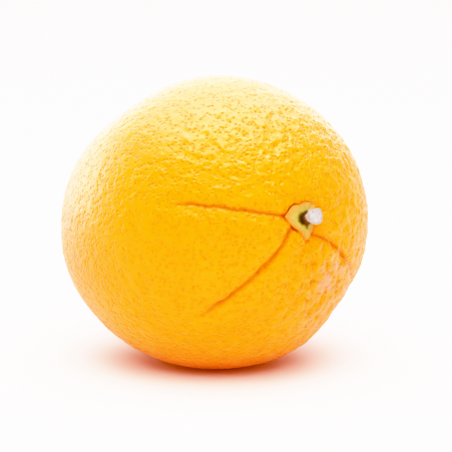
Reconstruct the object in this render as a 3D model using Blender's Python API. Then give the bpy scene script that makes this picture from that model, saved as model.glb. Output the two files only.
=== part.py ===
"""A whole orange lying on its side, with the dried calyx and the stalk stub at its stem end.

Metres, +Z up. The origin is the middle of the flat spot that the fruit rests on.
The stem end faces +X and looks a little upward.

Places on the fruit are given as seen from its centre: "from the stem" is the angle away from
the stem axis, and "round" is the angle about that axis, from 0 at the top towards +Y.
"""
import math

import bmesh
import bpy
from mathutils import Matrix, Vector

MM = 0.001
MERGE_DISTANCE = 0.01 * MM
PIECE_GAP = 0.3 * MM

# The fruit is an oval, longest along its stem axis, a little flattened from top to bottom.
HALF_LENGTH = 39.4 * MM
HALF_WIDTH = 38.6 * MM
HALF_HEIGHT = 37.4 * MM
STEM_TILT = math.radians(9)
FRUIT_CENTRE = Vector((0.7 * MM, 0.0, 36.85 * MM))
PEEL_STEPS = 72
PEEL_RINGS = 34
RING_CROWDING = 1.35

# Where the fruit grew fuller or flatter than the oval:
# degrees from the stem, degrees round, height, and how narrow the place is.
SWELLS = (
    (109, 333, -1.7 * MM, 12),
    (123, 255, 0.5 * MM, 12),
    (73, 158, 0.7 * MM, 16),
    (60, 60, 0.4 * MM, 8),
)

# The stem sits in a shallow bowl, and the far end has the small pit of the old flower.
BOWL_DEPTH = 1.2 * MM
BOWL_SPREAD = math.radians(7.5)
FLOWER_PIT_DEPTH = 0.6 * MM
FLOWER_PIT_SPREAD = math.radians(3)

# The furrows that run from the stem: degrees round, extra degrees round beside the stem,
# degrees from the stem where it starts and where it ends, and depth.
FURROWS = (
    (284.0, 0.0, 6, 56, 0.95 * MM),
    (226.5, 9.5, 6, 58, 0.95 * MM),
    (128.0, 11.0, 5, 48, 0.85 * MM),
    (168.0, 0.0, 6, 36, 0.50 * MM),
    (0.0, -7.0, 6, 22, 0.35 * MM),
    (36.0, 0.0, 7, 24, 0.35 * MM),
    (324.0, 0.0, 8, 20, 0.30 * MM),
    (80.0, -8.0, 6, 26, 0.35 * MM),
)
FURROW_TURN_AT = math.radians(8)
FURROW_TURN_FADE = math.radians(3.5)
FURROW_TURN_LIMIT = 1.5
FURROW_START_FADE = math.radians(2)
FURROW_END_FADE = math.radians(5)
VALLEY_WIDTH = 2.6 * MM
CLEFT_WIDTH = 0.9 * MM
CLEFT_SHARE = 0.5

# The stalk's root stands in a blind socket in the fruit.
STUB_ROOT_RADIUS = 1.9 * MM
SOCKET_RADIUS = STUB_ROOT_RADIUS + PIECE_GAP
SOCKET_FLOOR = 35.7 * MM

# The stub flares to a worn, slanting end.
STUB_NECK_RADIUS = 1.95 * MM
STUB_END_RADIUS = 2.15 * MM
STUB_END = 42.3 * MM
STUB_ROUNDING = 0.45 * MM
STUB_SLANT = 0.42
STUB_SLANT_ROUND = math.radians(96)
STUB_STEPS = 28

# The calyx is a thin star of five dried sepals:
# degrees round to the tip, half of the degrees that it spans, and the tip's reach.
SEPALS = (
    (290, 48, 5.5 * MM),
    (48, 60, 5.0 * MM),
    (168, 36, 5.1 * MM),
    (104, 30, 4.3 * MM),
    (235, 26, 3.6 * MM),
)
CALYX_HOLE_RADIUS = STUB_END_RADIUS + PIECE_GAP
CALYX_RING_RADIUS = 3.1 * MM
CALYX_INNER_THICKNESS = 1.1 * MM
CALYX_TIP_THICKNESS = 0.45 * MM
CALYX_STEPS = 60
CALYX_ROWS = 4


def direction(from_stem, round_stem):
    """Unit vector from the fruit's centre, with the stem axis along +X."""
    across = math.sin(from_stem)
    return Vector((
        math.cos(from_stem),
        across * math.sin(round_stem),
        across * math.cos(round_stem),
    ))


def angles(point):
    """The two angles of a point: from the stem, and round it."""
    from_stem = math.atan2(math.hypot(point.y, point.z), point.x)
    return from_stem, math.atan2(point.y, point.z)


def turn_between(first, second):
    """The signed angle from the second angle to the first, the short way round."""
    return (first - second + math.pi) % (2 * math.pi) - math.pi


def smooth_radius(from_stem, round_stem):
    """Distance from the centre to the peel, before the furrows are pressed in."""
    way = direction(from_stem, round_stem)
    oval = Vector((way.x / HALF_LENGTH, way.y / HALF_WIDTH, way.z / HALF_HEIGHT))
    radius = 1 / oval.length
    for swell_from, swell_round, height, narrowness in SWELLS:
        middle = direction(math.radians(swell_from), math.radians(swell_round))
        radius += height * max(0.0, way.dot(middle)) ** narrowness
    radius -= BOWL_DEPTH * math.exp(-(from_stem / BOWL_SPREAD) ** 2)
    radius -= FLOWER_PIT_DEPTH * math.exp(-((math.pi - from_stem) / FLOWER_PIT_SPREAD) ** 2)
    return radius


def furrow_line(furrow, from_stem):
    """The angle round the stem at which a furrow runs, which turns a little beside the stem."""
    fade = math.exp((FURROW_TURN_AT - from_stem) / FURROW_TURN_FADE)
    return math.radians(furrow[0] + furrow[1] * min(fade, FURROW_TURN_LIMIT))


def furrow_strength(furrow, from_stem):
    """How much of its full depth a furrow has here: 0 before its start and past its end."""
    after_start = (from_stem - math.radians(furrow[2])) / FURROW_START_FADE
    before_end = (math.radians(furrow[3]) - from_stem) / FURROW_END_FADE
    share = max(0.0, min(1.0, after_start, before_end))
    return share * share * (3 - 2 * share)


def furrow_depth(from_stem, round_stem):
    """How far the furrows press the peel in: a soft valley with a narrow cleft along it."""
    depth = 0.0
    for furrow in FURROWS:
        turn = turn_between(round_stem, furrow_line(furrow, from_stem))
        away = abs(turn) * math.sin(from_stem) * HALF_WIDTH
        valley = math.exp(-(away / VALLEY_WIDTH) ** 2)
        cleft = max(0.0, 1 - away / CLEFT_WIDTH)
        section = (1 - CLEFT_SHARE) * valley + CLEFT_SHARE * cleft
        depth = max(depth, furrow[4] * furrow_strength(furrow, from_stem) * section)
    return depth


def nearest_furrow_line(from_stem, round_stem):
    """The furrow's own angle when one runs within half a step of here, or else this angle."""
    half_step = math.pi / PEEL_STEPS
    for furrow in FURROWS:
        line = furrow_line(furrow, from_stem)
        if furrow_strength(furrow, from_stem) and abs(turn_between(round_stem, line)) < half_step:
            return line
    return round_stem


def turned(outline, steps, closed=False):
    """A mesh made by turning an outline of (along the axis, radius) points about the X axis."""
    mesh = bmesh.new()
    points = [mesh.verts.new((along, 0.0, radius)) for along, radius in outline]
    pairs = list(zip(points, points[1:]))
    if closed:
        pairs.append((points[-1], points[0]))
    edges = [mesh.edges.new(pair) for pair in pairs]
    bmesh.ops.spin(
        mesh, geom=points + edges, cent=(0, 0, 0), axis=(1, 0, 0),
        angle=2 * math.pi, steps=steps, use_merge=True,
    )
    bmesh.ops.remove_doubles(mesh, verts=mesh.verts, dist=MERGE_DISTANCE)
    bmesh.ops.recalc_face_normals(mesh, faces=mesh.faces)
    return mesh


def place_on_rest_spot(mesh):
    """Tilt a mesh from the stem axis to its lying position above the origin."""
    tilt = Matrix.Rotation(-STEM_TILT, 4, "Y")
    bmesh.ops.transform(mesh, matrix=Matrix.Translation(FRUIT_CENTRE) @ tilt, verts=mesh.verts)


def plain_material(name, colour, roughness):
    """A Principled material with one colour."""
    material = bpy.data.materials.new(name)
    material.use_nodes = True
    shader = material.node_tree.nodes["Principled BSDF"]
    shader.inputs["Base Color"].default_value = colour
    shader.inputs["Roughness"].default_value = roughness
    shader.inputs["Metallic"].default_value = 0.0
    return material


def peel_material():
    """Orange peel: deep yellow-orange, waxy."""
    return plain_material("orange_peel", (0.86, 0.33, 0.012, 1.0), 0.38)


def calyx_material():
    """Dried sepals: straw and yellow-green."""
    return plain_material("dried_sepal", (0.55, 0.42, 0.12, 1.0), 0.65)


def stub_material():
    """Cut stalk: pale, bleached wood."""
    return plain_material("bleached_stalk", (0.66, 0.56, 0.47, 1.0), 0.75)


def add_piece(name, mesh, material, sharp_angle):
    """Put a finished mesh in the scene as one named object, shaded smooth between its edges."""
    for face in mesh.faces:
        face.smooth = True
    for edge in mesh.edges:
        if edge.calc_face_angle(0) > sharp_angle:
            edge.smooth = False
    data = bpy.data.meshes.new(name)
    mesh.to_mesh(data)
    mesh.free()
    data.materials.append(material)
    piece = bpy.data.objects.new(name, data)
    bpy.context.scene.collection.objects.link(piece)


def fruit_outline():
    """Half of the plain oval, from the socket's floor and wall over the peel to the far end."""
    rim = math.asin(SOCKET_RADIUS / HALF_LENGTH)
    outline = [(SOCKET_FLOOR, 0.0), (SOCKET_FLOOR, SOCKET_RADIUS)]
    for ring in range(PEEL_RINGS):
        angle = rim + (math.pi - rim) * (ring / PEEL_RINGS) ** RING_CROWDING
        outline.append((HALF_LENGTH * math.cos(angle), HALF_WIDTH * math.sin(angle)))
    outline.append((-HALF_LENGTH, 0.0))
    return outline


def in_socket(point):
    """True for a point on the socket's floor, at its middle or its edge."""
    radius = math.hypot(point.y, point.z)
    return radius < SOCKET_RADIUS + MERGE_DISTANCE and 0 < point.x < SOCKET_FLOOR + MERGE_DISTANCE


def cut_rest_spot(mesh):
    """Cut the underside off level with the origin and close it with one flat face."""
    everything = list(mesh.verts) + list(mesh.edges) + list(mesh.faces)
    cut = bmesh.ops.bisect_plane(
        mesh, geom=everything, plane_co=(0, 0, 0), plane_no=(0, 0, -1), clear_outer=True,
    )
    ring = [item for item in cut["geom_cut"] if isinstance(item, bmesh.types.BMEdge)]
    bmesh.ops.edgeloop_fill(mesh, edges=ring)
    bmesh.ops.recalc_face_normals(mesh, faces=mesh.faces)
    for edge in ring:
        edge.smooth = False


def make_fruit():
    """The fruit in one piece: peel with its furrows, the stalk's socket and the flat rest spot."""
    mesh = turned(fruit_outline(), PEEL_STEPS)
    for vertex in mesh.verts:
        if in_socket(vertex.co):
            continue
        from_stem, round_stem = angles(vertex.co)
        round_stem = nearest_furrow_line(from_stem, round_stem)
        radius = smooth_radius(from_stem, round_stem) - furrow_depth(from_stem, round_stem)
        vertex.co = radius * direction(from_stem, round_stem)
    place_on_rest_spot(mesh)
    cut_rest_spot(mesh)
    add_piece("fruit", mesh, peel_material(), math.radians(50))


def calyx_section():
    """Section of the calyx ring: the underside outward, then the upper side back to the hole."""
    rows = [row / CALYX_ROWS for row in range(CALYX_ROWS + 1)]
    width = CALYX_RING_RADIUS - CALYX_HOLE_RADIUS
    underside = [(0.0, CALYX_HOLE_RADIUS + width * row) for row in rows]
    upper_side = [(CALYX_TIP_THICKNESS, radius) for _, radius in reversed(underside)]
    return underside + upper_side


def calyx_reach(round_stem):
    """How far the calyx reaches out here: the ring, or a pointed sepal beyond it."""
    reach = CALYX_RING_RADIUS
    for sepal_round, half_span, tip in SEPALS:
        turn = turn_between(round_stem, math.radians(sepal_round)) / math.radians(half_span)
        outline = CALYX_RING_RADIUS + (tip - CALYX_RING_RADIUS) * (1 - turn ** 2)
        reach = max(reach, outline)
    return reach


def make_calyx():
    """The calyx: a ring round the stalk with five sepals that lie in the stem bowl."""
    mesh = turned(calyx_section(), CALYX_STEPS, closed=True)
    width = CALYX_RING_RADIUS - CALYX_HOLE_RADIUS
    for vertex in mesh.verts:
        is_upper = vertex.co.x > CALYX_TIP_THICKNESS / 2
        round_stem = angles(vertex.co)[1]
        outward = (math.hypot(vertex.co.y, vertex.co.z) - CALYX_HOLE_RADIUS) / width
        reach = CALYX_HOLE_RADIUS + outward * (calyx_reach(round_stem) - CALYX_HOLE_RADIUS)
        from_stem = reach / (HALF_LENGTH - BOWL_DEPTH)
        lift = PIECE_GAP
        if is_upper:
            lift += CALYX_INNER_THICKNESS + outward * (CALYX_TIP_THICKNESS - CALYX_INNER_THICKNESS)
        vertex.co = (smooth_radius(from_stem, round_stem) + lift) * direction(from_stem, round_stem)
    bmesh.ops.recalc_face_normals(mesh, faces=mesh.faces)
    place_on_rest_spot(mesh)
    add_piece("calyx", mesh, calyx_material(), math.radians(35))


def stub_outline():
    """Half-outline of the stalk stub, from the middle of its root to the middle of its end."""
    root = SOCKET_FLOOR + PIECE_GAP
    neck = HALF_LENGTH - BOWL_DEPTH
    outline = [
        (root, 0.0),
        (root, STUB_ROOT_RADIUS - STUB_ROUNDING),
        (root + STUB_ROUNDING, STUB_ROOT_RADIUS),
        (neck, STUB_NECK_RADIUS),
        ((neck + STUB_END) / 2, (STUB_NECK_RADIUS + STUB_END_RADIUS) / 2),
    ]
    for step in range(4):
        angle = math.pi / 2 * step / 3
        along = STUB_END - STUB_ROUNDING + STUB_ROUNDING * math.sin(angle)
        outline.append((along, STUB_END_RADIUS - STUB_ROUNDING + STUB_ROUNDING * math.cos(angle)))
    outline.append((STUB_END, 0.0))
    return outline


def make_stem_stub():
    """The stub of stalk: a short turned post whose free end slants."""
    mesh = turned(stub_outline(), STUB_STEPS)
    neck = HALF_LENGTH - BOWL_DEPTH
    high_side = direction(math.pi / 2, STUB_SLANT_ROUND)
    for vertex in mesh.verts:
        share = max(0.0, (vertex.co.x - neck) / (STUB_END - neck))
        vertex.co.x += STUB_SLANT * share * vertex.co.dot(high_side)
    place_on_rest_spot(mesh)
    add_piece("stem_stub", mesh, stub_material(), math.radians(35))


for leftover in list(bpy.data.objects):
    bpy.data.objects.remove(leftover)

make_fruit()
make_calyx()
make_stem_stub()
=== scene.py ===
"""A whole orange lying on its side, with its dried calyx and the stub of its stalk.

Metres, +Z up, origin in the middle of the flat spot that the fruit rests on.
Places on the fruit are given as seen from its centre: "from the stem" is the angle away from
the stem axis, and "round" is the angle about that axis, from 0 at the top towards +Y.
"""
import math

import bmesh
import bpy
from mathutils import Matrix, Vector, noise


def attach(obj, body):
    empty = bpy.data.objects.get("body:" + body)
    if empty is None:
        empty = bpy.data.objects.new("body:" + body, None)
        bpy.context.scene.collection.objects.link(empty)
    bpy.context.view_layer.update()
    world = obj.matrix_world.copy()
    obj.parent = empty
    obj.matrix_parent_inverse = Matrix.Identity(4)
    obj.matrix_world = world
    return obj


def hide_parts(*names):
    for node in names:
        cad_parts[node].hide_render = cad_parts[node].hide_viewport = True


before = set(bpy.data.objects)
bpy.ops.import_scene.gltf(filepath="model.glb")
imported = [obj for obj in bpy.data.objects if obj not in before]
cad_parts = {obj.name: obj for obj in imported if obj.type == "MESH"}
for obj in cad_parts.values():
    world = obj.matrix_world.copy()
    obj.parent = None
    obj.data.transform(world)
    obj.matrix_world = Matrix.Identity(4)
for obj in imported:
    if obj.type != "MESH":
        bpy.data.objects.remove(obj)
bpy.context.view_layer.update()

MM = 0.001


# --- The fruit ---------------------------------------------------------------------------
# The whole fruit, grown in one piece: an oval with a leathery peel full of oil glands. Each
# gland dimples the skin, and furrows run out from the shallow bowl that the stalk grows in.
# It holds together by itself and lies on a small flat spot.

HALF_LENGTH = 39.4 * MM
HALF_WIDTH = 38.6 * MM
HALF_HEIGHT = 37.4 * MM
STEM_TILT = math.radians(9)
FRUIT_CENTRE = Vector((0.7 * MM, 0.0, 36.85 * MM))
BOWL_DEPTH = 1.2 * MM
FLOWER_PIT_SPREAD = math.radians(3)
FLOWER_SCAR_STARTS = math.radians(175.5)
FLOWER_SCAR_FULL = math.radians(178)
FLOWER_SCAR_DARKNESS = 0.6

# swellings and hollows of the outline: degrees from the stem and round it, height, and how
# narrow the place is
SWELLS = (
    (109, 333, -1.7 * MM, 12),
    (123, 255, 0.5 * MM, 12),
    (73, 158, 0.7 * MM, 16),
    (60, 60, 0.4 * MM, 8),
    (62, 137, -0.9 * MM, 40),
)

# furrows: degrees round, extra degrees round beside the stem, degrees from the stem where it
# starts and where it ends, depth, half the width of the valley and of the cleft in it, and how
# dark the painted shade in the cleft is
FURROWS = (
    (284.0, 0.0, 6, 56, 0.95 * MM, 3.4 * MM, 0.90 * MM, 0.9),
    (226.5, 11.0, 5, 58, 1.05 * MM, 3.4 * MM, 1.00 * MM, 1.0),
    (126.0, 15.0, 5, 62, 1.10 * MM, 3.6 * MM, 0.90 * MM, 0.7),
    (168.0, 0.0, 6, 38, 0.60 * MM, 4.5 * MM, 1.20 * MM, 0.2),
    (0.0, -7.0, 6, 24, 0.40 * MM, 4.0 * MM, 1.00 * MM, 0.15),
    (36.0, 0.0, 7, 26, 0.40 * MM, 4.5 * MM, 1.00 * MM, 0.15),
    (324.0, 0.0, 8, 22, 0.35 * MM, 4.0 * MM, 1.00 * MM, 0.1),
    (80.0, -8.0, 6, 28, 0.40 * MM, 4.0 * MM, 0.80 * MM, 0.25),
)
# the extra turn is as given at this angle from the stem, dies away over the next one, and is
# at most this many times as large nearer the stem
TURN_GIVEN_AT = math.radians(8)
TURN_FADES_OVER = math.radians(3.5)
TURN_AT_MOST = 1.5
FURROW_OPENS_OVER = math.radians(2)
FURROW_CLOSES_OVER = math.radians(14)
FURROW_WANDERS = math.radians(1.2)
FURROW_WANDER_LENGTH = 4 * MM

# pebbles are highest near the stem, and fade to a share of that between two angles from it
PEBBLES_FADE_FROM = math.radians(35)
PEBBLES_FADE_TO = math.radians(85)
PEBBLES_LEFT = 0.35
# a gland's dimple has its floor and its rim at these shares of the gland spacing
GLAND_FLOOR = 0.10
GLAND_RIM = 0.62

# lumpy skin: degrees from the stem and round it, reach in degrees, height, which is full
# within a share of the reach
LUMP_SIZE = 3.0 * MM
LUMPS_FULL_WITHIN = 0.4
LUMPS = (
    (20, 172, 24, 2.3 * MM),
    (36, 150, 22, 1.5 * MM),
    (36, 325, 30, 0.6 * MM),
)

# painted reflection, pale and pinkish, on the lower flank: degrees from the stem and round it, reach
# and full strength in degrees, strength
PAINTED_REFLECTIONS = (
    (26.6, 149, 10, 4, 1.0),
    (38, 149, 24, 6, 0.36),
)

# how deep the calyx sits in the peel, all round and beside the edges that stand off it, and
# how far past the calyx's edge the seat and its painted rim of shadow start and stop rising
SEAT_DEPTH = 0.38 * MM
UNDERCUT_DEPTH = 0.95 * MM
SEAT_WALL = (0.15 * MM, 0.75 * MM)
SEAT_RIM = (0.10 * MM, 0.80 * MM)
CALYX_TIP_ROUND = math.radians(277)

# the edge of the calyx: degrees round, and millimetres from the stem axis
CALYX_EDGE = (
    (0, 3.9), (28, 4.5), (52, 4.8), (75, 4.2), (88, 3.4), (104, 4.2), (121, 3.3), (145, 3.9),
    (160, 4.6), (173, 5.4), (186, 4.5), (206, 3.4), (222, 3.3), (238, 3.6), (254, 4.0),
    (268, 4.8), (281, 5.7), (293, 5.0), (305, 4.8), (318, 4.6), (332, 4.1), (345, 3.6),
)
# a curve node holds it, and 1 on the curve stands for this many millimetres
CALYX_CURVE_TOP = 10


def linear(hex_colour):
    """An sRGB hex colour as linear red, green, blue and alpha."""
    channels = [int(hex_colour[i:i + 2], 16) / 255 for i in (1, 3, 5)]
    return [c / 12.92 if c <= 0.04045 else ((c + 0.055) / 1.055) ** 2.4 for c in channels] + [1]


def add_node(tree, kind, inputs=(), **settings):
    """Add one node to a tree, with its settings, its input values and its links."""
    node = tree.nodes.new(kind)
    for name, value in settings.items():
        setattr(node, name, value)
    for key, value in dict(inputs).items():
        if isinstance(value, bpy.types.NodeSocket):
            tree.links.new(value, node.inputs[key])
        else:
            node.inputs[key].default_value = value
    return node


def furrow_group():
    """Node group: how deep one furrow presses the peel in at a place on it."""
    tree = bpy.data.node_groups.new("Furrow", "GeometryNodeTree")
    names = (
        "From Stem", "Round Stem", "Runs At", "Turn Beside Stem", "Starts At", "Ends At",
        "Depth", "Valley Width", "Cleft Width", "Darkness",
    )
    for name in names:
        tree.interface.new_socket(name, in_out="INPUT", socket_type="NodeSocketFloat")
    tree.interface.new_socket("Press", in_out="OUTPUT", socket_type="NodeSocketFloat")
    tree.interface.new_socket("Cleft", in_out="OUTPUT", socket_type="NodeSocketFloat")
    given = add_node(tree, "NodeGroupInput").outputs
    from_stem = given["From Stem"]

    # the line it runs on, and how far a place is from it
    past = add_node(
        tree, "ShaderNodeMath", {0: TURN_GIVEN_AT, 1: from_stem}, operation="SUBTRACT",
    )
    scaled = add_node(
        tree, "ShaderNodeMath", {0: past.outputs[0], 1: TURN_FADES_OVER}, operation="DIVIDE",
    )
    fade = add_node(tree, "ShaderNodeMath", {0: scaled.outputs[0]}, operation="EXPONENT")
    capped = add_node(
        tree, "ShaderNodeMath", {0: fade.outputs[0], 1: TURN_AT_MOST}, operation="MINIMUM",
    )
    line = add_node(
        tree, "ShaderNodeMath",
        {0: capped.outputs[0], 1: given["Turn Beside Stem"], 2: given["Runs At"]},
        operation="MULTIPLY_ADD",
    )
    apart = add_node(
        tree, "ShaderNodeMath", {0: given["Round Stem"], 1: line.outputs[0]}, operation="SUBTRACT",
    )
    turn = add_node(
        tree, "ShaderNodeMath", {0: apart.outputs[0], 1: math.pi, 2: -math.pi}, operation="WRAP",
    )
    size = add_node(tree, "ShaderNodeMath", {0: turn.outputs[0]}, operation="ABSOLUTE")
    reach = add_node(tree, "ShaderNodeMath", {0: from_stem}, operation="SINE")
    ring = add_node(
        tree, "ShaderNodeMath", {0: reach.outputs[0], 1: HALF_WIDTH}, operation="MULTIPLY",
    )
    away = add_node(
        tree, "ShaderNodeMath", {0: size.outputs[0], 1: ring.outputs[0]}, operation="MULTIPLY",
    )
    # its section: a round valley with a sharp cleft in it
    valley = add_node(
        tree, "ShaderNodeMapRange",
        {"Value": away.outputs[0], "From Min": 0.0, "From Max": given["Valley Width"],
         "To Min": 1.0, "To Max": 0.0},
        interpolation_type="SMOOTHERSTEP",
    )
    cleft = add_node(
        tree, "ShaderNodeMapRange",
        {"Value": away.outputs[0], "From Min": 0.0, "From Max": given["Cleft Width"],
         "To Min": 1.0, "To Max": 0.0},
        interpolation_type="LINEAR",
    )
    # where it starts and ends
    start = add_node(
        tree, "ShaderNodeMath", {0: given["Starts At"], 1: FURROW_OPENS_OVER}, operation="ADD",
    )
    begun = add_node(
        tree, "ShaderNodeMapRange",
        {"Value": from_stem, "From Min": given["Starts At"], "From Max": start.outputs[0]},
        interpolation_type="SMOOTHSTEP",
    )
    end = add_node(
        tree, "ShaderNodeMath", {0: given["Ends At"], 1: FURROW_CLOSES_OVER}, operation="SUBTRACT",
    )
    going = add_node(
        tree, "ShaderNodeMapRange",
        {"Value": from_stem, "From Min": end.outputs[0], "From Max": given["Ends At"],
         "To Min": 1.0, "To Max": 0.0},
        interpolation_type="SMOOTHSTEP",
    )
    present = add_node(
        tree, "ShaderNodeMath", {0: begun.outputs[0], 1: going.outputs[0]}, operation="MULTIPLY",
    )
    section = add_node(
        tree, "ShaderNodeMix", {"Factor": 0.5, 2: valley.outputs[0], 3: cleft.outputs[0]},
        data_type="FLOAT",
    )
    shaped = add_node(
        tree, "ShaderNodeMath", {0: section.outputs[0], 1: present.outputs[0]}, operation="MULTIPLY",
    )
    press = add_node(
        tree, "ShaderNodeMath", {0: shaped.outputs[0], 1: given["Depth"]}, operation="MULTIPLY",
    )
    # the cleft's line of painted shade, as strong as the furrow's darkness
    marked = add_node(
        tree, "ShaderNodeMath", {0: cleft.outputs[0], 1: present.outputs[0]}, operation="MULTIPLY",
    )
    painted_crease_shade = add_node(
        tree, "ShaderNodeMath", {0: marked.outputs[0], 1: given["Darkness"]}, operation="MULTIPLY",
    )
    add_node(tree, "NodeGroupOutput", {"Press": press.outputs[0], "Cleft": painted_crease_shade.outputs[0]})
    return tree


def direction(from_stem, round_stem):
    """Unit vector from the fruit's centre for two angles in degrees, the stem axis along +X."""
    away, around = math.radians(from_stem), math.radians(round_stem)
    return Vector((
        math.cos(away),
        math.sin(away) * math.sin(around),
        math.sin(away) * math.cos(around),
    ))


def fruit_tree(peel_material):
    """Geometry tree: a fine ball turned into the oval, its bowl, furrows, pebbles and pits."""
    tree = bpy.data.node_groups.new("Orange fruit", "GeometryNodeTree")
    sockets = (
        ("Columns", "NodeSocketInt"), ("Rings", "NodeSocketInt"),
        ("Ring Crowding", "NodeSocketFloat"), ("Swell Size", "NodeSocketFloat"),
        ("Bowl Depth", "NodeSocketFloat"), ("Bowl Spread", "NodeSocketFloat"),
        ("Flower Pit Depth", "NodeSocketFloat"), ("Swelling", "NodeSocketFloat"),
        ("Pebble Size", "NodeSocketFloat"), ("Pebble Height", "NodeSocketFloat"),
        ("Gland Spacing", "NodeSocketFloat"), ("Gland Depth", "NodeSocketFloat"),
    )
    for name, kind in sockets:
        tree.interface.new_socket(name, in_out="INPUT", socket_type=kind)
    tree.interface.new_socket("Fruit", in_out="OUTPUT", socket_type="NodeSocketGeometry")
    given = add_node(tree, "NodeGroupInput").outputs

    ball = add_node(
        tree, "GeometryNodeMeshUVSphere",
        {"Segments": given["Columns"], "Rings": given["Rings"], "Radius": 1.0},
    )
    at = add_node(tree, "GeometryNodeInputPosition")
    ball_at = add_node(tree, "ShaderNodeSeparateXYZ", {0: at.outputs[0]})
    # the rings crowd towards the stem, where the furrows are finest
    polar = add_node(tree, "ShaderNodeMath", {0: ball_at.outputs["Z"]}, operation="ARCCOSINE")
    share = add_node(tree, "ShaderNodeMath", {0: polar.outputs[0], 1: math.pi}, operation="DIVIDE")
    crowded = add_node(
        tree, "ShaderNodeMath", {0: share.outputs[0], 1: given["Ring Crowding"]}, operation="POWER",
    )
    from_stem = add_node(
        tree, "ShaderNodeMath", {0: crowded.outputs[0], 1: math.pi}, operation="MULTIPLY",
    ).outputs[0]
    round_stem = add_node(
        tree, "ShaderNodeMath", {0: ball_at.outputs["Y"], 1: ball_at.outputs["X"]},
        operation="ARCTAN2",
    ).outputs[0]

    along = add_node(tree, "ShaderNodeMath", {0: from_stem}, operation="COSINE")
    across = add_node(tree, "ShaderNodeMath", {0: from_stem}, operation="SINE")
    sideways = add_node(tree, "ShaderNodeMath", {0: round_stem}, operation="SINE")
    upward = add_node(tree, "ShaderNodeMath", {0: round_stem}, operation="COSINE")
    side = add_node(
        tree, "ShaderNodeMath", {0: across.outputs[0], 1: sideways.outputs[0]}, operation="MULTIPLY",
    )
    up = add_node(
        tree, "ShaderNodeMath", {0: across.outputs[0], 1: upward.outputs[0]}, operation="MULTIPLY",
    )
    way = add_node(
        tree, "ShaderNodeCombineXYZ",
        {"X": along.outputs[0], "Y": side.outputs[0], "Z": up.outputs[0]},
    ).outputs[0]

    # the plain oval
    oval = add_node(
        tree, "ShaderNodeVectorMath", {0: way, 1: (HALF_LENGTH, HALF_WIDTH, HALF_HEIGHT)},
        operation="DIVIDE",
    )
    stretch = add_node(tree, "ShaderNodeVectorMath", {0: oval.outputs[0]}, operation="LENGTH")
    radius = add_node(
        tree, "ShaderNodeMath", {0: 1.0, 1: stretch.outputs["Value"]}, operation="DIVIDE",
    ).outputs[0]
    for swell_from, swell_round, height, narrowness in SWELLS:
        facing = add_node(
            tree, "ShaderNodeVectorMath", {0: way, 1: direction(swell_from, swell_round)},
            operation="DOT_PRODUCT",
        )
        front = add_node(
            tree, "ShaderNodeMath", {0: facing.outputs["Value"], 1: 0.0}, operation="MAXIMUM",
        )
        narrowed = add_node(
            tree, "ShaderNodeMath", {0: front.outputs[0], 1: narrowness}, operation="POWER",
        )
        radius = add_node(
            tree, "ShaderNodeMath", {0: narrowed.outputs[0], 1: height, 2: radius},
            operation="MULTIPLY_ADD",
        ).outputs[0]

    # soft unevenness of the whole fruit
    swell_scale = add_node(
        tree, "ShaderNodeMath", {0: 1.0, 1: given["Swell Size"]}, operation="DIVIDE",
    )
    skin_way = add_node(
        tree, "ShaderNodeVectorMath", {0: way, "Scale": HALF_WIDTH}, operation="SCALE",
    ).outputs[0]
    uneven = add_node(
        tree, "ShaderNodeTexNoise",
        {"Vector": skin_way, "Scale": swell_scale.outputs[0], "Detail": 2.0, "Roughness": 0.5},
    )
    centred = add_node(
        tree, "ShaderNodeMath", {0: uneven.outputs[0], 1: 0.5}, operation="SUBTRACT",
    )
    radius = add_node(
        tree, "ShaderNodeMath", {0: centred.outputs[0], 1: given["Swelling"], 2: radius},
        operation="MULTIPLY_ADD",
    ).outputs[0]

    # the bowl round the stalk, and the little pit where the flower dropped off
    for centre, spread, depth in (
        (0.0, given["Bowl Spread"], given["Bowl Depth"]),
        (math.pi, FLOWER_PIT_SPREAD, given["Flower Pit Depth"]),
    ):
        off = add_node(tree, "ShaderNodeMath", {0: from_stem, 1: centre}, operation="SUBTRACT")
        spans = add_node(tree, "ShaderNodeMath", {0: off.outputs[0], 1: spread}, operation="DIVIDE")
        squared = add_node(tree, "ShaderNodeMath", {0: spans.outputs[0], 1: 2.0}, operation="POWER")
        turned = add_node(
            tree, "ShaderNodeMath", {0: squared.outputs[0], 1: -1.0}, operation="MULTIPLY",
        )
        bell = add_node(tree, "ShaderNodeMath", {0: turned.outputs[0]}, operation="EXPONENT")
        drop = add_node(
            tree, "ShaderNodeMath", {0: bell.outputs[0], 1: depth}, operation="MULTIPLY",
        )
        radius = add_node(
            tree, "ShaderNodeMath", {0: radius, 1: drop.outputs[0]}, operation="SUBTRACT",
        ).outputs[0]

    # the seat of the calyx, let into the bowl along the calyx's own edge
    share_round = add_node(
        tree, "ShaderNodeMath", {0: round_stem, 1: 2 * math.pi}, operation="DIVIDE",
    )
    whole_round = add_node(
        tree, "ShaderNodeMath", {0: share_round.outputs[0], 1: 1.0, 2: 0.0}, operation="WRAP",
    )
    edge = add_node(tree, "ShaderNodeFloatCurve", {"Value": whole_round.outputs[0]})
    edge_curve = edge.mapping.curves[0]
    outline = [(at_round / 360, reach / CALYX_CURVE_TOP) for at_round, reach in CALYX_EDGE]
    outline.append((1.0, outline[0][1]))
    edge_curve.points[0].location = outline[0]
    edge_curve.points[1].location = outline[-1]
    for x, y in outline[1:-1]:
        edge_curve.points.new(x, y)
    edge.mapping.update()
    edge_reach = add_node(
        tree, "ShaderNodeMath", {0: edge.outputs[0], 1: CALYX_CURVE_TOP * MM},
        operation="MULTIPLY",
    )
    reached = add_node(
        tree, "ShaderNodeMath", {0: from_stem, 1: HALF_LENGTH}, operation="MULTIPLY",
    )
    beyond = add_node(
        tree, "ShaderNodeMath", {0: reached.outputs[0], 1: edge_reach.outputs[0]},
        operation="SUBTRACT",
    )
    seat = add_node(
        tree, "ShaderNodeMapRange",
        {"Value": beyond.outputs[0], "From Min": SEAT_WALL[0], "From Max": SEAT_WALL[1],
         "To Min": 1.0, "To Max": 0.0},
        interpolation_type="SMOOTHSTEP",
    )
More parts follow.
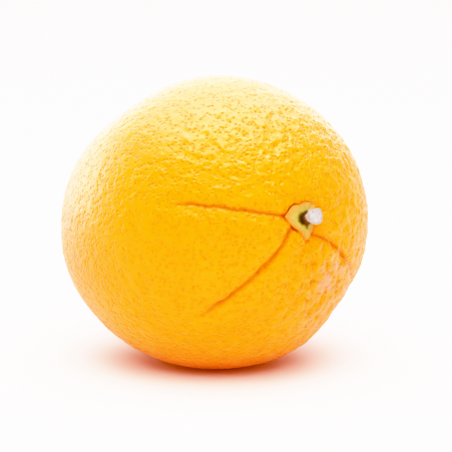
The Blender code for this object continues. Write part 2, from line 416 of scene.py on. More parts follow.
    # it is deepest beside the two edges of the calyx that stand off the peel, and painted shadow
    # darkens it there
    from_tip = add_node(
        tree, "ShaderNodeMath", {0: round_stem, 1: CALYX_TIP_ROUND}, operation="SUBTRACT",
    )
    on_side = add_node(tree, "ShaderNodeMath", {0: from_tip.outputs[0]}, operation="COSINE")
    four_turns = add_node(
        tree, "ShaderNodeMath", {0: from_tip.outputs[0], 1: 4.0}, operation="MULTIPLY",
    )
    beside_tip = add_node(tree, "ShaderNodeMath", {0: four_turns.outputs[0]}, operation="COSINE")
    side_share = add_node(
        tree, "ShaderNodeMapRange", {"Value": on_side.outputs[0], "From Min": 0.1, "From Max": 0.6},
    )
    edge_share = add_node(
        tree, "ShaderNodeMapRange",
        {"Value": beside_tip.outputs[0], "From Min": 0.5, "From Max": -0.7},
    )
    undercut = add_node(
        tree, "ShaderNodeMath", {0: side_share.outputs[0], 1: edge_share.outputs[0]},
        operation="MULTIPLY",
    )
    seat_depth = add_node(
        tree, "ShaderNodeMapRange",
        {"Value": undercut.outputs[0], "To Min": SEAT_DEPTH, "To Max": UNDERCUT_DEPTH},
    )
    seat_drop = add_node(
        tree, "ShaderNodeMath", {0: seat.outputs[0], 1: seat_depth.outputs[0]},
        operation="MULTIPLY",
    )
    radius = add_node(
        tree, "ShaderNodeMath", {0: radius, 1: seat_drop.outputs[0]}, operation="SUBTRACT",
    ).outputs[0]
    seat_rim = add_node(
        tree, "ShaderNodeMapRange",
        {"Value": beyond.outputs[0], "From Min": SEAT_RIM[0], "From Max": SEAT_RIM[1],
         "To Min": 1.0, "To Max": 0.0},
    )
    painted_rim_shadow = add_node(
        tree, "ShaderNodeMath", {0: seat_rim.outputs[0], 1: undercut.outputs[0]},
        operation="MULTIPLY",
    )
    # painted shadow lies there, and real old dark skin on the scar that the flower left
    flower_scar = add_node(
        tree, "ShaderNodeMapRange",
        {"Value": from_stem, "From Min": FLOWER_SCAR_STARTS, "From Max": FLOWER_SCAR_FULL,
         "To Max": FLOWER_SCAR_DARKNESS},
        interpolation_type="SMOOTHSTEP",
    )
    cleft = add_node(
        tree, "ShaderNodeMath", {0: painted_rim_shadow.outputs[0], 1: flower_scar.outputs[0]},
        operation="MAXIMUM",
    ).outputs[0]

    # the furrows, each wandering a little to either side, with painted shade in their clefts
    wander = add_node(
        tree, "ShaderNodeTexNoise",
        {"Vector": skin_way, "Scale": 1 / FURROW_WANDER_LENGTH, "Detail": 1.0},
    )
    wander_turn = add_node(
        tree, "ShaderNodeMapRange",
        {"Value": wander.outputs[0], "To Min": -FURROW_WANDERS, "To Max": FURROW_WANDERS},
    )
    wandered = add_node(
        tree, "ShaderNodeMath", {0: round_stem, 1: wander_turn.outputs[0]}, operation="ADD",
    )
    furrow = furrow_group()
    press = 0.0
    for runs_at, turn, starts, ends, depth, valley_width, cleft_width, darkness in FURROWS:
        one = add_node(
            tree, "GeometryNodeGroup",
            {"From Stem": from_stem, "Round Stem": wandered.outputs[0],
             "Runs At": math.radians(runs_at), "Turn Beside Stem": math.radians(turn),
             "Starts At": math.radians(starts), "Ends At": math.radians(ends),
             "Depth": depth, "Valley Width": valley_width, "Cleft Width": cleft_width,
             "Darkness": darkness},
            node_tree=furrow,
        )
        press = add_node(
            tree, "ShaderNodeMath", {0: press, 1: one.outputs["Press"]}, operation="MAXIMUM",
        ).outputs[0]
        cleft = add_node(
            tree, "ShaderNodeMath", {0: cleft, 1: one.outputs["Cleft"]}, operation="MAXIMUM",
        ).outputs[0]
    radius = add_node(
        tree, "ShaderNodeMath", {0: radius, 1: press}, operation="SUBTRACT",
    ).outputs[0]
    bare = add_node(
        tree, "ShaderNodeVectorMath", {0: way, "Scale": radius}, operation="SCALE",
    ).outputs[0]

    # pebbles: low blisters, plainest round the stem and faint on the far flanks
    pebble_scale = add_node(
        tree, "ShaderNodeMath", {0: 1.0, 1: given["Pebble Size"]}, operation="DIVIDE",
    )
    pebble = add_node(
        tree, "ShaderNodeTexNoise",
        {"Vector": bare, "Scale": pebble_scale.outputs[0], "Detail": 1.0, "Roughness": 0.4},
    )
    pebble_centred = add_node(
        tree, "ShaderNodeMath", {0: pebble.outputs[0], 1: 0.5}, operation="SUBTRACT",
    )
    near_stem = add_node(
        tree, "ShaderNodeMapRange",
        {"Value": from_stem, "From Min": PEBBLES_FADE_FROM, "From Max": PEBBLES_FADE_TO,
         "To Min": 1.0, "To Max": PEBBLES_LEFT},
        interpolation_type="SMOOTHSTEP",
    )
    pebble_height = add_node(
        tree, "ShaderNodeMath", {0: near_stem.outputs[0], 1: given["Pebble Height"]},
        operation="MULTIPLY",
    )
    radius = add_node(
        tree, "ShaderNodeMath",
        {0: pebble_centred.outputs[0], 1: pebble_height.outputs[0], 2: radius},
        operation="MULTIPLY_ADD",
    ).outputs[0]

    # lumpy skin below the stem, and gentler ripples above it
    lumps = add_node(
        tree, "ShaderNodeTexNoise",
        {"Vector": bare, "Scale": 1 / LUMP_SIZE, "Detail": 2.0, "Roughness": 0.5},
    )
    lumps_centred = add_node(
        tree, "ShaderNodeMath", {0: lumps.outputs[0], 1: 0.5}, operation="SUBTRACT",
    )
    for at_from, at_round, reaches, height in LUMPS:
        facing = add_node(
            tree, "ShaderNodeVectorMath", {0: way, 1: direction(at_from, at_round)},
            operation="DOT_PRODUCT",
        )
        lumpy = add_node(
            tree, "ShaderNodeMapRange",
            {"Value": facing.outputs["Value"], "From Min": math.cos(math.radians(reaches)),
             "From Max": math.cos(math.radians(reaches * LUMPS_FULL_WITHIN)), "To Max": height},
            interpolation_type="SMOOTHSTEP",
        )
        radius = add_node(
            tree, "ShaderNodeMath",
            {0: lumps_centred.outputs[0], 1: lumpy.outputs[0], 2: radius},
            operation="MULTIPLY_ADD",
        ).outputs[0]

    # painted reflection beside the lumps: pale, pinkish skin standing in for light reflected there
    painted_reflection = 0.0
    for at_from, at_round, reaches, full_within, strength in PAINTED_REFLECTIONS:
        facing = add_node(
            tree, "ShaderNodeVectorMath", {0: way, 1: direction(at_from, at_round)},
            operation="DOT_PRODUCT",
        )
        reflection_here = add_node(
            tree, "ShaderNodeMapRange",
            {"Value": facing.outputs["Value"], "From Min": math.cos(math.radians(reaches)),
             "From Max": math.cos(math.radians(full_within)), "To Max": strength},
            interpolation_type="SMOOTHSTEP",
        )
        painted_reflection = add_node(
            tree, "ShaderNodeMath", {0: painted_reflection, 1: reflection_here.outputs[0]}, operation="MAXIMUM",
        ).outputs[0]

    # the dimple of each oil gland
    gland_scale = add_node(
        tree, "ShaderNodeMath", {0: 1.0, 1: given["Gland Spacing"]}, operation="DIVIDE",
    )
    glands = add_node(
        tree, "ShaderNodeTexVoronoi", {"Vector": bare, "Scale": gland_scale.outputs[0]},
        feature="F1",
    )
    dimple = add_node(
        tree, "ShaderNodeMapRange",
        {"Value": glands.outputs["Distance"], "From Min": GLAND_FLOOR, "From Max": GLAND_RIM,
         "To Min": 1.0, "To Max": 0.0},
        interpolation_type="SMOOTHSTEP",
    )
    dimple_drop = add_node(
        tree, "ShaderNodeMath", {0: dimple.outputs[0], 1: given["Gland Depth"]},
        operation="MULTIPLY",
    )
    radius = add_node(
        tree, "ShaderNodeMath", {0: radius, 1: dimple_drop.outputs[0]}, operation="SUBTRACT",
    ).outputs[0]

    skin = add_node(
        tree, "ShaderNodeVectorMath", {0: way, "Scale": radius}, operation="SCALE",
    )
    geometry = ball.outputs["Mesh"]
    # marks kept for the peel's material: the place, the clefts' painted shade and scar, and the
    # painted reflection
    for name, kind, value in (
        ("bare_peel", "FLOAT_VECTOR", bare), ("cleft", "FLOAT", cleft),
        ("painted_reflection", "FLOAT", painted_reflection),
    ):
        geometry = add_node(
            tree, "GeometryNodeStoreNamedAttribute",
            {"Geometry": geometry, "Name": name, "Value": value},
            data_type=kind, domain="POINT",
        ).outputs["Geometry"]
    shaped = add_node(
        tree, "GeometryNodeSetPosition", {"Geometry": geometry, "Position": skin.outputs[0]},
    )
    lying = add_node(
        tree, "GeometryNodeTransform",
        {"Geometry": shaped.outputs[0], "Translation": FRUIT_CENTRE,
         "Rotation": (0.0, -STEM_TILT, 0.0)},
    )
    # the underside gives where it rests, which makes the flat spot
    resting_at = add_node(tree, "ShaderNodeSeparateXYZ", {0: at.outputs[0]})
    resting_height = add_node(
        tree, "ShaderNodeMath", {0: resting_at.outputs["Z"], 1: 0.0}, operation="MAXIMUM",
    )
    rested = add_node(
        tree, "ShaderNodeCombineXYZ",
        {"X": resting_at.outputs["X"], "Y": resting_at.outputs["Y"], "Z": resting_height.outputs[0]},
    )
    on_table = add_node(
        tree, "GeometryNodeSetPosition",
        {"Geometry": lying.outputs[0], "Position": rested.outputs[0]},
    )
    outward = add_node(tree, "GeometryNodeFlipFaces", {"Mesh": on_table.outputs[0]})
    smooth = add_node(tree, "GeometryNodeSetShadeSmooth", {"Geometry": outward.outputs[0]})
    real = add_node(tree, "GeometryNodeRealizeInstances", {"Geometry": smooth.outputs[0]})
    finished = add_node(
        tree, "GeometryNodeSetMaterial",
        {"Geometry": real.outputs[0], "Material": peel_material},
    )
    add_node(tree, "NodeGroupOutput", {"Fruit": finished.outputs[0]})
    return tree


def new_material(name):
    """An empty node material, with its Principled shader and output."""
    material = bpy.data.materials.new(name)
    material.use_nodes = True
    tree = material.node_tree
    return material, tree, tree.nodes["Principled BSDF"]


def waxy_orange_peel():
    """Orange peel: waxy skin over juicy oil glands, so it glows a little and has a soft gloss."""
    ripe = linear("#F68700")
    yellower = linear("#F89200")
    # the spots' colour: the glands' own brown, deepened into painted shade of the dimples
    gland_brown_and_pit_shade = linear("#7E7400")
    # dark red-brown: the flower scar's own colour, and painted shade in the clefts and under the
    # calyx's edges
    scar_brown_and_painted_shade = linear("#A85600")
    # the colour of the painted reflection
    reflection_pink = linear("#DE9C84")
    material, tree, shader = new_material("waxy orange peel")
    place = add_node(tree, "ShaderNodeAttribute", attribute_name="bare_peel").outputs["Vector"]
    cleft = add_node(tree, "ShaderNodeAttribute", attribute_name="cleft").outputs["Fac"]
    painted_reflection = add_node(tree, "ShaderNodeAttribute", attribute_name="painted_reflection").outputs["Fac"]

    # colour: deep yellow-orange that drifts a little across the fruit
    drift = add_node(
        tree, "ShaderNodeTexNoise",
        {"Vector": place, "Scale": 1 / (16 * MM), "Detail": 3.0, "Roughness": 0.55},
    )
    ground = add_node(
        tree, "ShaderNodeMix",
        {"Factor": drift.outputs[0], 6: ripe, 7: yellower},
        data_type="RGBA",
    )
    # each gland, about 1 mm apart, shows as a darker, greener-brown spot: partly the gland's own
    # colour, partly painted shade in its dimple
    glands = add_node(
        tree, "ShaderNodeTexVoronoi", {"Vector": place, "Scale": 1 / (1.05 * MM)}, feature="F1",
    )
    dimple = add_node(
        tree, "ShaderNodeMapRange",
        {"Value": glands.outputs["Distance"], "From Min": 0.12, "From Max": 0.52,
         "To Min": 1.0, "To Max": 0.0},
        interpolation_type="SMOOTHSTEP",
    )
    # the spots are plainer, with deeper painted shade, over the crown where the overhead gloss lies
    # and over the flower half than on the stem half, and under the painted reflection
    place_parts = add_node(tree, "ShaderNodeSeparateXYZ", {0: place})
    crown = add_node(
        tree, "ShaderNodeMapRange",
        {"Value": place_parts.outputs["Z"], "From Min": 4 * MM, "From Max": 24 * MM},
    )
    flower_half = add_node(
        tree, "ShaderNodeMapRange",
        {"Value": place_parts.outputs["X"], "From Min": 4 * MM, "From Max": -22 * MM},
    )
    far_glands = add_node(
        tree, "ShaderNodeMath", {0: crown.outputs[0], 1: flower_half.outputs[0]},
        operation="MAXIMUM",
    )
    glands_in_reflection = add_node(tree, "ShaderNodeMath", {0: painted_reflection, 1: 2.2}, operation="MULTIPLY")
    plain = add_node(
        tree, "ShaderNodeMath", {0: far_glands.outputs[0], 1: glands_in_reflection.outputs[0]},
        operation="MAXIMUM",
    )
    spot_and_shade_depth = add_node(
        tree, "ShaderNodeMapRange", {"Value": plain.outputs[0], "To Min": 0.24, "To Max": 0.62},
    )
    spot_share = add_node(
        tree, "ShaderNodeMath", {0: dimple.outputs[0], 1: spot_and_shade_depth.outputs[0]},
        operation="MULTIPLY",
    )
    spotted = add_node(
        tree, "ShaderNodeMix",
        {"Factor": spot_share.outputs[0], 6: ground.outputs[2], 7: gland_brown_and_pit_shade},
        data_type="RGBA",
    )
    # the clefts and the calyx's edges hold painted shade in a dark red-brown, which is also the real
    # colour of the flower's scar
    scar_and_shade_share = add_node(
        tree, "ShaderNodeMapRange",
        {"Value": cleft, "From Min": 0.05, "From Max": 0.9, "To Max": 0.6},
        interpolation_type="SMOOTHSTEP",
    )
    coloured = add_node(
        tree, "ShaderNodeMix",
        {"Factor": scar_and_shade_share.outputs[0], 6: spotted.outputs[2], 7: scar_brown_and_painted_shade},
        data_type="RGBA",
    )
    # painted reflection: pale and pinkish, in blotches of about 3 mm
    blotch = add_node(
        tree, "ShaderNodeTexNoise", {"Vector": place, "Scale": 1 / (3.0 * MM), "Detail": 2.0},
    )
    blotch_share = add_node(
        tree, "ShaderNodeMapRange",
        {"Value": blotch.outputs[0], "From Min": 0.38, "From Max": 0.56, "To Max": 0.62},
    )
    reflection_share = add_node(
        tree, "ShaderNodeMath", {0: painted_reflection, 1: blotch_share.outputs[0]}, operation="MULTIPLY",
    )
    reflected = add_node(
        tree, "ShaderNodeMix",
        {"Factor": reflection_share.outputs[0], 6: coloured.outputs[2], 7: reflection_pink},
        data_type="RGBA",
    )
    tree.links.new(reflected.outputs[2], shader.inputs["Base Color"])

    # relief: a dimple under each spot, closer together and sharper than the mesh's own gland
    # dimples, which they don't line up with, and a grain of under 1 mm
    grain = add_node(
        tree, "ShaderNodeTexNoise",
        {"Vector": place, "Scale": 1 / (0.7 * MM), "Detail": 2.0, "Roughness": 0.5},
    )
    dimple_bump = add_node(
        tree, "ShaderNodeBump",
        {"Strength": 1.0, "Distance": 0.15 * MM, "Height": dimple.outputs[0]}, invert=True,
    )
    grain_bump = add_node(
        tree, "ShaderNodeBump",
        {"Strength": 1.0, "Distance": 0.06 * MM, "Height": grain.outputs[0],
         "Normal": dimple_bump.outputs[0]},
    )
    tree.links.new(grain_bump.outputs[0], shader.inputs["Normal"])

    roughness = add_node(
        tree, "ShaderNodeMapRange", {"Value": dimple.outputs[0], "To Min": 0.42, "To Max": 0.60},
    )
    tree.links.new(roughness.outputs[0], shader.inputs["Roughness"])
    shader.inputs["IOR"].default_value = 1.55
    shader.inputs["Sheen Weight"].default_value = 0.27
    shader.inputs["Sheen Roughness"].default_value = 0.4
    shader.inputs["Sheen Tint"].default_value = linear("#FFF0E8")
    shader.inputs["Subsurface Weight"].default_value = 0.25
    shader.inputs["Subsurface Radius"].default_value = (1.0, 0.45, 0.1)
    shader.inputs["Subsurface Scale"].default_value = 1.2 * MM
    return material


def finish_tree(piece, tree, values):
    """Run a geometry tree on a piece with the given inputs and keep its result as plain mesh."""
    modifier = piece.modifiers.new(tree.name, "NODES")
    modifier.node_group = tree
    sockets = {
        item.name: item.identifier for item in tree.interface.items_tree
        if item.in_out == "INPUT"
    }
    for name, value in values.items():
        modifier[sockets[name]] = value
    evaluated = piece.evaluated_get(bpy.context.evaluated_depsgraph_get())
    mesh = bpy.data.meshes.new_from_object(evaluated)
    piece.modifiers.clear()
    piece.data = mesh
    mesh.name = piece.name


def new_piece(name, mesh=None):
    """A new object at the origin, linked into the scene."""
    piece = bpy.data.objects.new(name, mesh or bpy.data.meshes.new(name))
    bpy.context.scene.collection.objects.link(piece)
    return piece


whole_fruit = new_piece("whole_fruit")
finish_tree(whole_fruit, fruit_tree(waxy_orange_peel()), {
    "Columns": 480,
    "Rings": 204,
    "Ring Crowding": 1.25,
    "Swell Size": 14 * MM,
    "Bowl Depth": BOWL_DEPTH,
    "Bowl Spread": math.radians(7.5),
    "Flower Pit Depth": 0.6 * MM,
    "Swelling": 0.5 * MM,
    "Pebble Size": 2.2 * MM,
    "Pebble Height": 0.85 * MM,
    "Gland Spacing": 1.3 * MM,
    "Gland Depth": 0.2 * MM,
})
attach(whole_fruit, "root")
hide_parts("fruit")


# --- The calyx ----------------------------------------------------------------------------
# The dried flower cup that the fruit hung from: five sepals grown into one thin leathery
# star round the stalk, straw-coloured, green in the middle, let into the stem bowl.

CALYX_COLUMNS = 180
CALYX_ROWS = 14
CALYX_INNER = 1.25 * MM
CALYX_SINKS = 0.40 * MM
CALYX_FLOOR = HALF_LENGTH - BOWL_DEPTH - CALYX_SINKS
CALYX_RAGGED = 0.035
CALYX_THICKEST = 1.15 * MM
CALYX_THINS_BY = 0.75 * MM
CALYX_WRINKLE = 0.16 * MM
CALYX_RIB = 0.10 * MM
CALYX_RIBS = 13
CALYX_LIFT = 0.35 * MM
CALYX_CURL = 0.12 * MM
STALK_RISE = 0.35 * MM


def calyx_reach(round_stem):
    """Distance of the calyx's edge from the stem axis, straight between the outline's points."""
    points = [*CALYX_EDGE, (CALYX_EDGE[0][0] + 360, CALYX_EDGE[0][1])]
    for (start, here), (end, there) in zip(points, points[1:]):
        if start <= round_stem <= end:
            share = (round_stem - start) / (end - start)
            return (here + (there - here) * share) * MM


def calyx_point(column, row, upper):
    """A point on the calyx's upper or under side, in the fruit's own axes."""
    round_stem = 360 * column / CALYX_COLUMNS
    outward = row / CALYX_ROWS
    ragged = 1 + CALYX_RAGGED * noise.noise(Vector((column * 0.35, 4.0, 0.0)))
    reach = CALYX_INNER + (calyx_reach(round_stem) * ragged - CALYX_INNER) * outward
    way = Vector((math.sin(math.radians(round_stem)), math.cos(math.radians(round_stem))))
    thickness = CALYX_THICKEST - CALYX_THINS_BY * outward ** 0.8
    creased = Vector((way.x * reach * 900, way.y * reach * 900, 1.7))
    wrinkle = CALYX_WRINKLE * noise.noise(creased)
    rib = CALYX_RIB * math.cos(math.radians(round_stem) * CALYX_RIBS) * outward
    along = CALYX_FLOOR + CALYX_LIFT * outward ** 2
    if upper:
        curl = CALYX_CURL * math.sin(math.pi * min(1.0, outward * 1.1))
        along += thickness * (1 - 0.6 * outward ** 12) + wrinkle + rib + curl
    return Vector((along, way.x * reach, way.y * reach + STALK_RISE * 0.5))


def dried_calyx_mesh():
    """The star as one closed shell: upper side, edge and under side, with the stalk's hole."""
    mesh = bmesh.new()
    loops = []
    sides = [(row, True) for row in range(CALYX_ROWS + 1)]
    sides += [(row, False) for row in range(CALYX_ROWS, -1, -2)]
    outward_layer = mesh.verts.layers.float.new("outward")
    for row, upper in sides:
        loop = []
        for column in range(CALYX_COLUMNS):
            vertex = mesh.verts.new(calyx_point(column, row, upper))
            vertex[outward_layer] = row / CALYX_ROWS if upper else 1.0
            loop.append(vertex)
        loops.append(loop)
    for first, second in zip(loops, loops[1:] + loops[:1]):
        for column in range(CALYX_COLUMNS):
            after = (column + 1) % CALYX_COLUMNS
            mesh.faces.new((first[column], first[after], second[after], second[column]))
    bmesh.ops.recalc_face_normals(mesh, faces=mesh.faces)
    return mesh


def lay_down(mesh):
    """Turn a mesh from the fruit's own axes to where the fruit lies."""
    tilt = Matrix.Rotation(-STEM_TILT, 4, "Y")
    bmesh.ops.transform(mesh, matrix=Matrix.Translation(FRUIT_CENTRE) @ tilt, verts=mesh.verts)


def dried_sepal():
    """Dried sepal: matte, papery leaf, straw-brown at the tips, dark olive by the stalk, darkened
    further there by painted shade.
    """
    material, tree, shader = new_material("dried sepal")
    outward = add_node(tree, "ShaderNodeAttribute", attribute_name="outward").outputs["Fac"]
    place = add_node(tree, "ShaderNodeTexCoord").outputs["Object"]
    mottle = add_node(
        tree, "ShaderNodeTexNoise",
        {"Vector": place, "Scale": 1 / (1.1 * MM), "Detail": 3.0, "Roughness": 0.6},
    )
    shifted = add_node(
        tree, "ShaderNodeMapRange", {"Value": mottle.outputs[0], "To Min": -0.22, "To Max": 0.22},
    )
    along = add_node(
        tree, "ShaderNodeMath", {0: outward, 1: shifted.outputs[0]}, operation="ADD",
    )
    ramp = add_node(tree, "ShaderNodeValToRGB", {"Fac": along.outputs[0]})
    # the near-black olive right by the stalk is painted shade at the stalk's foot; the olive, straw
    # and brown further out are the sepal's own
    stops = (
        (0.00, "#3A3018"), (0.10, "#5E542C"), (0.20, "#8E8448"), (0.38, "#B8A65C"),
        (0.54, "#C69A58"), (0.76, "#CE9250"), (1.00, "#C88440"),
    )
    elements = ramp.color_ramp.elements
    elements[0].position, elements[0].color = stops[0][0], linear(stops[0][1])
    elements[1].position, elements[1].color = stops[-1][0], linear(stops[-1][1])
    for position, colour in stops[1:-1]:
        elements.new(position).color = linear(colour)
    tree.links.new(ramp.outputs[0], shader.inputs["Base Color"])
    fibre = add_node(
        tree, "ShaderNodeTexNoise",
        {"Vector": place, "Scale": 1 / (0.35 * MM), "Detail": 2.0},
    )
    bump = add_node(
        tree, "ShaderNodeBump", {"Strength": 0.7, "Distance": 0.08 * MM, "Height": fibre.outputs[0]},
    )
    tree.links.new(bump.outputs[0], shader.inputs["Normal"])
    shader.inputs["Roughness"].default_value = 0.7
    return material


def mesh_piece(name, mesh, material, sharp_angle):
    """Make a finished bmesh a smooth-shaded piece with its material."""
    data = bpy.data.meshes.new(name)
    mesh.to_mesh(data)
    mesh.free()
    data.materials.append(material)
    data.shade_smooth()
    data.set_sharp_from_angle(angle=math.radians(sharp_angle))
    return new_piece(name, data)


calyx_mesh = dried_calyx_mesh()
lay_down(calyx_mesh)
calyx = mesh_piece("dried_calyx", calyx_mesh, dried_sepal(), 60)
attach(calyx, "root")
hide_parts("calyx")


# --- The stalk stub -----------------------------------------------------------------------
# What is left of the woody stalk after the fruit was clipped: a short post that flares to a
# slanting cut, bleached white and frayed on top, brown down its side.

STUB_COLUMNS = 72
STUB_SIDE_ROWS = 16
STUB_END_ROWS = 10
STUB_FOOT = 38.2 * MM
STUB_TOP = 42.3 * MM
STUB_NECK = 1.4 * MM
STUB_FLARE = 2.0 * MM
STUB_LUMPY = 0.28
STUB_SLANT = 0.42
STUB_SLANT_ROUND = math.radians(96)
STUB_CROWN = 0.30 * MM
STUB_FRAYED = 0.40 * MM
STUB_LEANS_UP = 0.35 * MM
STUB_FOOT_ASIDE = 0.48 * MM
STUB_LEANS_BACK = 0.18 * MM


def stub_point(round_stem, along_share, end_share):
    """A point on the stub: up its side to the rim, then in over the cut end."""
    radius = STUB_NECK + (STUB_FLARE - STUB_NECK) * along_share ** 1.5
    way = Vector((math.sin(round_stem), math.cos(round_stem)))
    lumps = noise.noise(Vector((way.x * 1.6, way.y * 1.6, along_share * 1.2)))
    radius *= 1 + STUB_LUMPY * lumps
    along = STUB_FOOT + (STUB_TOP - STUB_FOOT) * along_share
    if end_share > 0:
        along += STUB_CROWN * math.sqrt(end_share)
        radius *= 1 - end_share
        pith = noise.noise(Vector((way.x * radius * 1100, way.y * radius * 1100, 3.0)))
        along += STUB_FRAYED * pith * min(1.0, end_share * 3)
    y, z = way.x * radius, way.y * radius
    y += STUB_FOOT_ASIDE - STUB_LEANS_BACK * along_share
    z += STUB_LEANS_UP * along_share
    to_high_side = y * math.sin(STUB_SLANT_ROUND) + z * math.cos(STUB_SLANT_ROUND)
    lift = STUB_SLANT * to_high_side * along_share
    return Vector((along + lift, y, z + STALK_RISE))


def stub_mesh():
    """The stub as rings of points, closed at its foot and over its cut end."""
    mesh = bmesh.new()
    on_end = mesh.verts.layers.float.new("cut_end")
    steps = [(row / STUB_SIDE_ROWS, 0.0) for row in range(STUB_SIDE_ROWS + 1)]
    steps += [(1.0, row / STUB_END_ROWS) for row in range(1, STUB_END_ROWS)]
    loops = []
    for along_share, end_share in steps:
        loop = []
        for column in range(STUB_COLUMNS):
            point = stub_point(2 * math.pi * column / STUB_COLUMNS, along_share, end_share)
            vertex = mesh.verts.new(point)
            vertex[on_end] = along_share * 0.5 + min(0.5, end_share * 2.5)
            loop.append(vertex)
        loops.append(loop)
    for first, second in zip(loops, loops[1:]):
        for column in range(STUB_COLUMNS):
            after = (column + 1) % STUB_COLUMNS
            mesh.faces.new((first[column], first[after], second[after], second[column]))
    top = mesh.verts.new(stub_point(0.0, 1.0, 1.0))
    top[on_end] = 1.0
    for column in range(STUB_COLUMNS):
        after = (column + 1) % STUB_COLUMNS
        mesh.faces.new((loops[-1][column], loops[-1][after], top))
    mesh.faces.new(loops[0])
    bmesh.ops.recalc_face_normals(mesh, faces=mesh.faces)
    return mesh


def weathered_stalk():
    """Clipped stalk: bleached, frayed wood on the cut, brown bark down the side, all matte, with
    painted shade darkening the bark to near black at its foot.
    """
    material, tree, shader = new_material("weathered stalk wood")
    on_end = add_node(tree, "ShaderNodeAttribute", attribute_name="cut_end").outputs["Fac"]
    place = add_node(tree, "ShaderNodeTexCoord").outputs["Object"]
    mottle = add_node(
        tree, "ShaderNodeTexNoise",
        {"Vector": place, "Scale": 1 / (0.9 * MM), "Detail": 3.0, "Roughness": 0.6},
    )
    shifted = add_node(
        tree, "ShaderNodeMapRange", {"Value": mottle.outputs[0], "To Min": -0.25, "To Max": 0.20},
    )
    along = add_node(
        tree, "ShaderNodeMath", {0: on_end, 1: shifted.outputs[0]}, operation="ADD",
    )
    ramp = add_node(tree, "ShaderNodeValToRGB", {"Fac": along.outputs[0]})
    # the near-black brown at the foot of the side is painted shade where the stalk stands in the
    # calyx
    stops = (
        (0.00, "#2A2614"), (0.18, "#463C2A"), (0.36, "#5E5248"), (0.48, "#A08C78"),
        (0.60, "#B09C80"), (0.74, "#AEA498"), (0.88, "#8E847C"), (1.00, "#B8B2B0"),
    )
    elements = ramp.color_ramp.elements
    elements[0].position, elements[0].color = stops[0][0], linear(stops[0][1])
    elements[1].position, elements[1].color = stops[-1][0], linear(stops[-1][1])
    for position, colour in stops[1:-1]:
        elements.new(position).color = linear(colour)
    tree.links.new(ramp.outputs[0], shader.inputs["Base Color"])
    fibre = add_node(
        tree, "ShaderNodeTexNoise",
        {"Vector": place, "Scale": 1 / (0.3 * MM), "Detail": 2.0},
    )
    bump = add_node(
        tree, "ShaderNodeBump", {"Strength": 0.8, "Distance": 0.10 * MM, "Height": fibre.outputs[0]},
    )
    tree.links.new(bump.outputs[0], shader.inputs["Normal"])
    shader.inputs["Roughness"].default_value = 0.75
    return material


stub = stub_mesh()
lay_down(stub)
stalk_stub = mesh_piece("stalk_stub", stub, weathered_stalk(), 60)
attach(stalk_stub, "root")
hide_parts("stem_stub")


# --- The table, the light and the camera --------------------------------------------------
# Not part of the fruit: a plain pale table in a bright white room, lit by large soft lights
# overhead and around, with the camera a little above the table looking at the stem end.

TABLE_HALF_WIDTH = 2.5
VIEW_ROUND = math.radians(55)
VIEW_RISE = math.radians(10)
VIEW_DISTANCE = 0.6
SENSOR_WIDTH = 36.0
LENS = 187.8
AIM_RIGHT = 2.93 * MM
AIM_DOWN = 1.02 * MM
ROOM_LIGHT = 0.7
TABLE_LIGHT_RISE = math.radians(48)
TABLE_LIGHT_SPREAD = math.radians(50)

table_mesh = bmesh.new()
bmesh.ops.create_grid(table_mesh, x_segments=1, y_segments=1, size=TABLE_HALF_WIDTH)
table_material, _, table_shader = new_material("white table paint")
table_shader.inputs["Base Color"].default_value = linear("#F6F6F6")
table_shader.inputs["Roughness"].default_value = 0.9
table_shader.inputs["Specular IOR Level"].default_value = 0.0
table = mesh_piece("table", table_mesh, table_material, 30)

to_camera = Vector((
    math.sin(VIEW_ROUND) * math.cos(VIEW_RISE),
    -math.cos(VIEW_ROUND) * math.cos(VIEW_RISE),
    math.sin(VIEW_RISE),
))
to_right = Vector((math.cos(VIEW_ROUND), math.sin(VIEW_ROUND), 0))
to_up = to_camera.cross(to_right)
aim = FRUIT_CENTRE + to_right * AIM_RIGHT - to_up * AIM_DOWN

camera_data = bpy.data.cameras.new("camera")
camera_data.lens = LENS
camera_data.sensor_width = SENSOR_WIDTH
camera_data.clip_start = 0.05
camera = bpy.data.objects.new("camera", camera_data)
camera.matrix_world = Matrix.Translation(aim + to_camera * VIEW_DISTANCE) @ Matrix((
    to_right, to_up, to_camera,
)).transposed().to_4x4()
bpy.context.scene.collection.objects.link(camera)
bpy.context.scene.camera = camera

world = bpy.data.worlds.new("white room")
bpy.context.scene.world = world
world.use_nodes = True
world.node_tree.nodes["Background"].inputs["Color"].default_value = (1, 1, 1, 1)
world.node_tree.nodes["Background"].inputs["Strength"].default_value = ROOM_LIGHT

to_front = Vector((math.sin(VIEW_ROUND), -math.cos(VIEW_ROUND), 0))


def soft_light(name, turn, rise, distance, width, height, radiance, seen_in="both"):
    """A soft light aimed at the fruit: degrees turned to the right of the front and raised,
    metres away, wide and high, how bright it is, and whether it is seen in gloss or on skin."""
    towards = to_front * math.cos(math.radians(turn)) + to_right * math.sin(math.radians(turn))
    towards = towards * math.cos(math.radians(rise)) + Vector((0, 0, math.sin(math.radians(rise))))
    data = bpy.data.lights.new(name, "AREA")
    data.shape = "RECTANGLE"
    data.size = width
    data.size_y = height
    data.energy = radiance * math.pi * width * height
    light = bpy.data.objects.new(name, data)
    light.matrix_world = Matrix.LocRotScale(
        FRUIT_CENTRE + towards * distance, towards.to_track_quat("Z", "Y"), None,
    )
    light.visible_camera = False
    light.visible_diffuse = seen_in != "gloss"
    light.visible_glossy = seen_in != "skin"
    bpy.context.scene.collection.objects.link(light)
    return light


soft_light("overhead light", 180, 84, 0.9, 1.2, 0.85, 2.4)
soft_light("overhead gloss", 180, 80, 0.88, 1.1, 0.9, 4.2, seen_in="gloss")
front_fill = soft_light("front fill", 0, 38, 1.0, 0.9, 0.9, 3.1, seen_in="skin")
back_fill = soft_light("back fill", 180, 38, 1.0, 0.9, 0.9, 1.8, seen_in="skin")
soft_light("back gloss", 180, 25, 1.2, 1.4, 1.0, 4.2, seen_in="gloss")
soft_light("left gloss", -122, 3, 1.0, 0.9, 1.0, 6.0, seen_in="gloss")

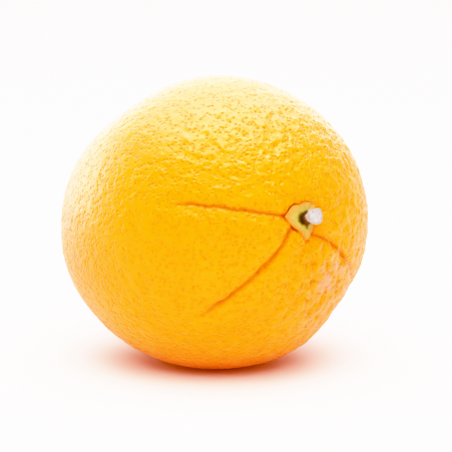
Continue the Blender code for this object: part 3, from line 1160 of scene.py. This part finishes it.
# the table is lit by itself, so that it is white all over
table_sun = bpy.data.lights.new("table light", "SUN")
table_sun.energy = 2.7
table_sun.angle = TABLE_LIGHT_SPREAD
table_light = bpy.data.objects.new("table light", table_sun)
sun_side = to_front * math.cos(TABLE_LIGHT_RISE) + Vector((0, 0, math.sin(TABLE_LIGHT_RISE)))
table_light.matrix_world = sun_side.to_track_quat("Z", "Y").to_matrix().to_4x4()
bpy.context.scene.collection.objects.link(table_light)
lit_table = bpy.data.collections.new("lit table")
lit_table.objects.link(table)
table_light.light_linking.receiver_collection = lit_table
# a red light on the table alone, which casts no shadow, stands in for the light that passes
# through the ripe peel and warms the real shadow
peel_glow = bpy.data.lights.new("glow of the peel", "SUN")
peel_glow.energy = 1.7
peel_glow.angle = TABLE_LIGHT_SPREAD
peel_glow.color = linear("#FF3827")[:3]
peel_glow.use_shadow = False
glow_light = bpy.data.objects.new("glow of the peel", peel_glow)
bpy.context.scene.collection.objects.link(glow_light)
glow_light.light_linking.receiver_collection = lit_table
# the two fills brighten the fruit only, so that its shadow stays deep
lit_fruit = bpy.data.collections.new("lit fruit")
for piece in (whole_fruit, calyx, stalk_stub):
    lit_fruit.objects.link(piece)
front_fill.light_linking.receiver_collection = lit_fruit
back_fill.light_linking.receiver_collection = lit_fruit

# tone curves: highlights roll off softly, and green and blue are held back in deep tones
ROLL_OFF = (
    (0.5, 0.5), (0.8, 0.75), (1.0, 0.86), (1.3, 0.94), (1.6, 0.97), (2.0, 0.985), (3.0, 0.998),
    (4, 1),
)
GREEN_TOE = ((0.1, 0.05), (0.2, 0.12), (0.3, 0.235), (0.4, 0.375), (0.5, 0.5), (4, 4))
BLUE_TOE = ((0.05, 0.0), (0.1, 0.012), (0.18, 0.09), (0.33, 0.3), (0.6, 0.62), (4, 4))
BRIGHTEST = 4.0
view = bpy.context.scene.view_settings
view.view_transform = "Standard"
view.use_curve_mapping = True
tones = view.curve_mapping
tones.clip_max_x = BRIGHTEST
graded = ((tones.curves[3], ROLL_OFF), (tones.curves[1], GREEN_TOE), (tones.curves[2], BLUE_TOE))
for curve, steps in graded:
    curve.points[-1].location = steps[-1]
    for step in steps[:-1]:
        curve.points.new(*step)
tones.clip_max_y = BRIGHTEST
# the deep and middle tones stay on a straight line
for point in tones.curves[3].points[:2]:
    point.handle_type = "VECTOR"
tones.update()
